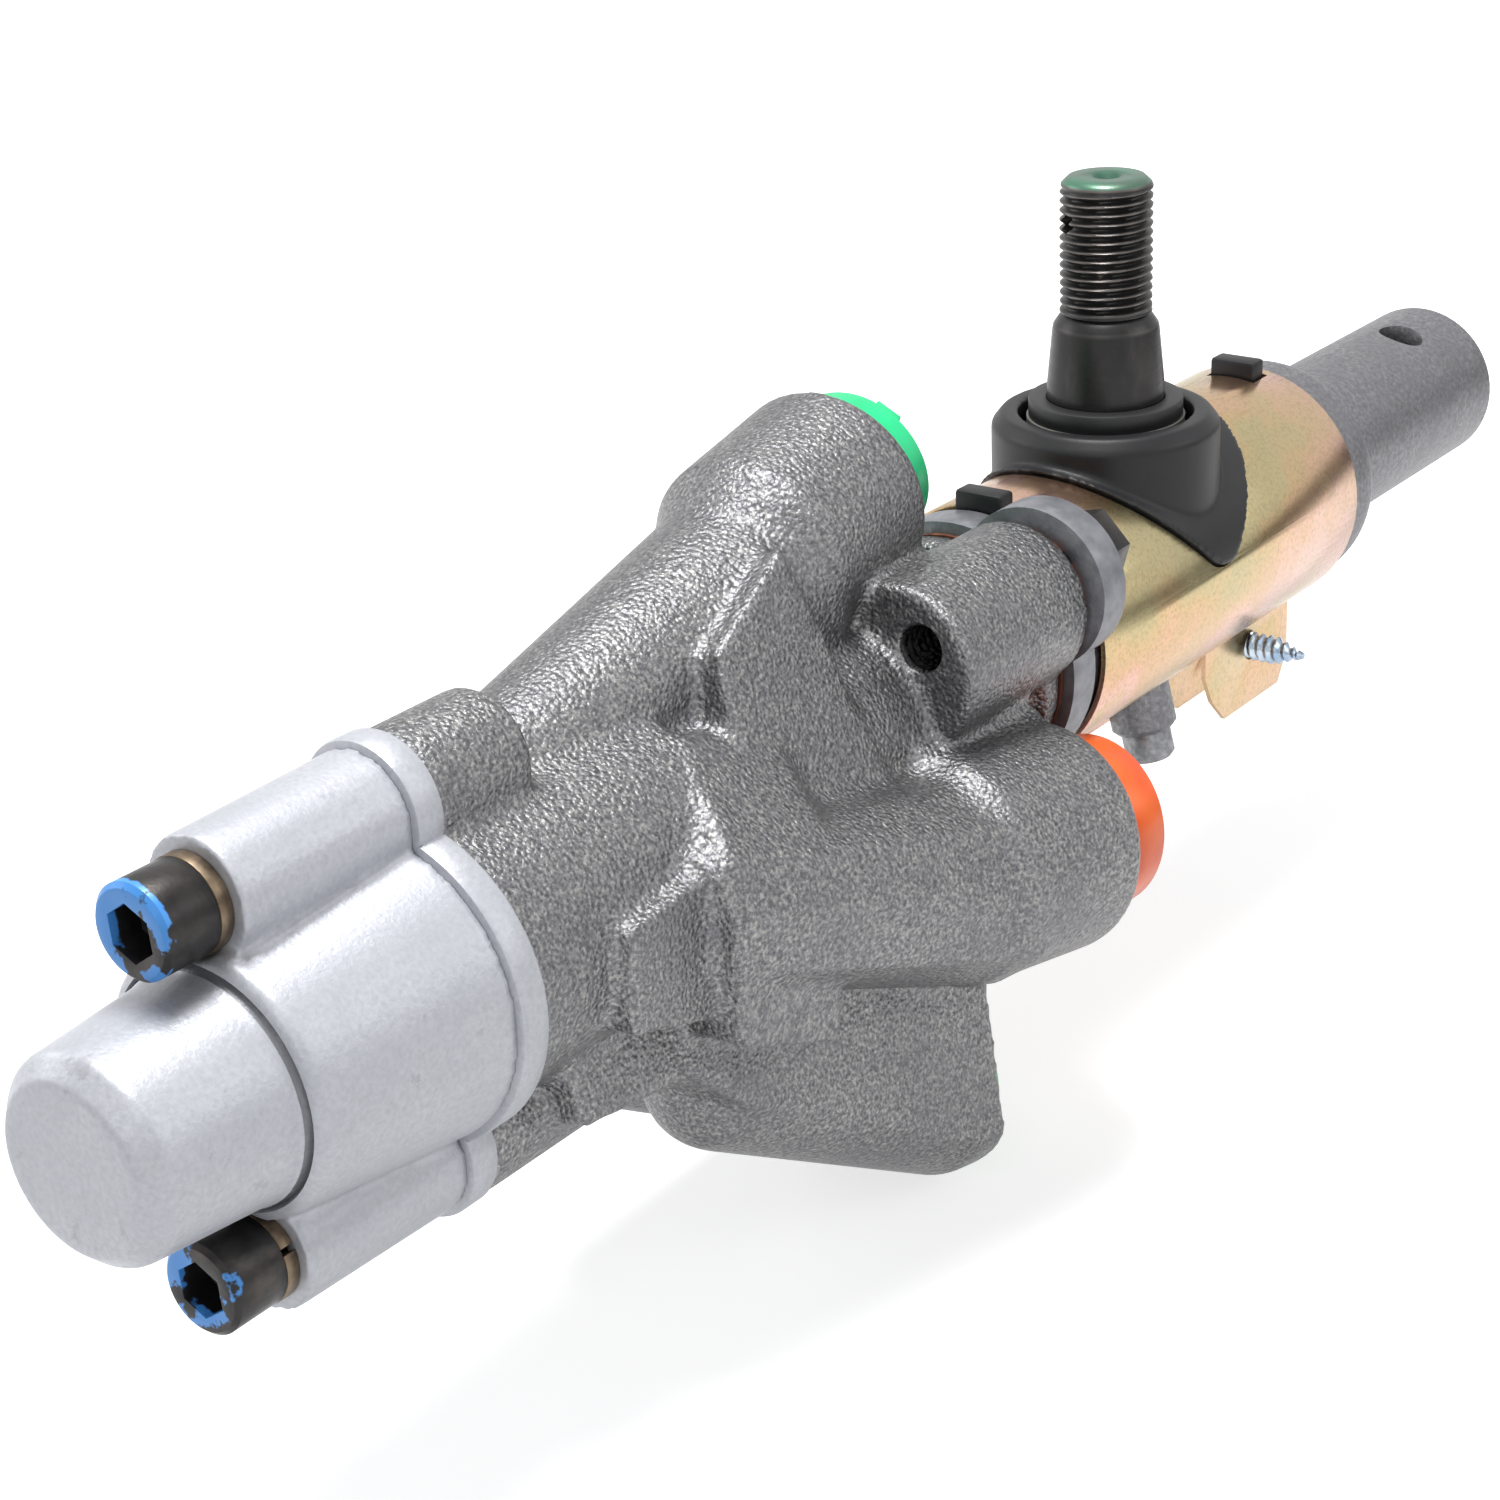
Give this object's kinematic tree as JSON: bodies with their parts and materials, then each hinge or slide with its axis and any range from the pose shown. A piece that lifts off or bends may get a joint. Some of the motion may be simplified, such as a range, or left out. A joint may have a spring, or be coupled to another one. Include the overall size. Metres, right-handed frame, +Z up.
{
  "type": "power steering control valve",
  "caption": "Power steering control valve: cast housing with splayed hose ports, silver spring cap, and a clamped ball stud sleeve ending in a link tube",
  "frame": {"origin": "Centre of the stud's ball, where the sleeve's axis and the stud's axis cross", "axes": "+X along the spool and sleeve axis from the spring cap to the link tube, +Z up along the ball stud, +Y away from the side with the near port"},
  "size_m": [0.3351, 0.0661, 0.13],
  "materials": {
    "cast_iron": "grit-blasted casting",
    "silver_casting": "fine satin silver",
    "black_steel": "black oxide",
    "washer_steel": "oiled spring steel",
    "bare_steel": "machined and blasted steel",
    "yellow_zinc": "yellow zinc plate",
    "blue_zinc": "blue-white zinc plate",
    "boot_rubber": "smooth matte",
    "seal_rubber": "matte",
    "gasket_fibre": "compressed fibre",
    "bronze": "machined bronze",
    "brass_seat": "machined brass",
    "felt": "dense felt",
    "green_plastic": "moulded",
    "orange_plastic": "moulded"
  },
  "bodies": {
    "valve_body": {"valve_housing": "cast_iron", "adapter_plate": "silver_casting", "spring_cap": "silver_casting", "cap_screws": "black_steel", "cap_lock_washers": "washer_steel", "adapter_bushing": "bronze", "adapter_seal": "seal_rubber", "spool_end_seal": "seal_rubber", "flange_gasket": "gasket_fibre", "sleeve": "bare_steel", "flange_bolts": "black_steel", "boot_clamp": "yellow_zinc", "clamp_screw": "blue_zinc", "dust_boot": "boot_rubber", "grease_plug": "bare_steel", "hose_seats": "brass_seat", "upper_port_plug": "green_plastic", "near_port_plug": "orange_plastic", "lower_port_plugs": "green_plastic"},
    "spool_slide": {"spool": "bare_steel", "centring_bolt": "black_steel", "lock_nut": "blue_zinc", "outer_spring_washer": "bare_steel", "inner_spring_washer": "bare_steel", "spring_spacer": "bare_steel", "push_sleeve": "bare_steel", "centring_spring": "washer_steel", "travel_stop": "bare_steel", "stop_pin": "bare_steel", "ball_socket": "bare_steel", "inner_ball_seat": "bronze", "outer_ball_seat": "bronze", "seat_spring": "washer_steel", "bumper": "seal_rubber"},
    "stud_swing": {"felt_ring": "felt"},
    "stud_sway": {"stud_washer": "seal_rubber"},
    "stud": {"ball_stud": "black_steel"}
  },
  "joints": [
    {"name": "spool_travel", "type": "slide", "parent": "valve_body", "child": "spool_slide", "axis": [1, 0, 0], "range_m": [-0.0013, 0.0013], "stiffness_N_per_m": 20000, "deforming": ["dust_boot"]},
    {"name": "stud_swing", "type": "hinge", "parent": "spool_slide", "child": "stud_swing", "pos_m": [0, 0, 0], "axis": [0, 1, 0], "range_deg": [-10, 10], "deforming": ["dust_boot"]},
    {"name": "stud_sway", "type": "hinge", "parent": "stud_swing", "child": "stud_sway", "pos_m": [0, 0, 0], "axis": [1, 0, 0], "range_deg": [-6, 6], "deforming": ["dust_boot", "felt_ring"]},
    {"name": "stud_spin", "type": "hinge", "parent": "stud_sway", "child": "stud", "pos_m": [0, 0, 0], "axis": [0, 0, 1], "continuous": true}
  ]
}
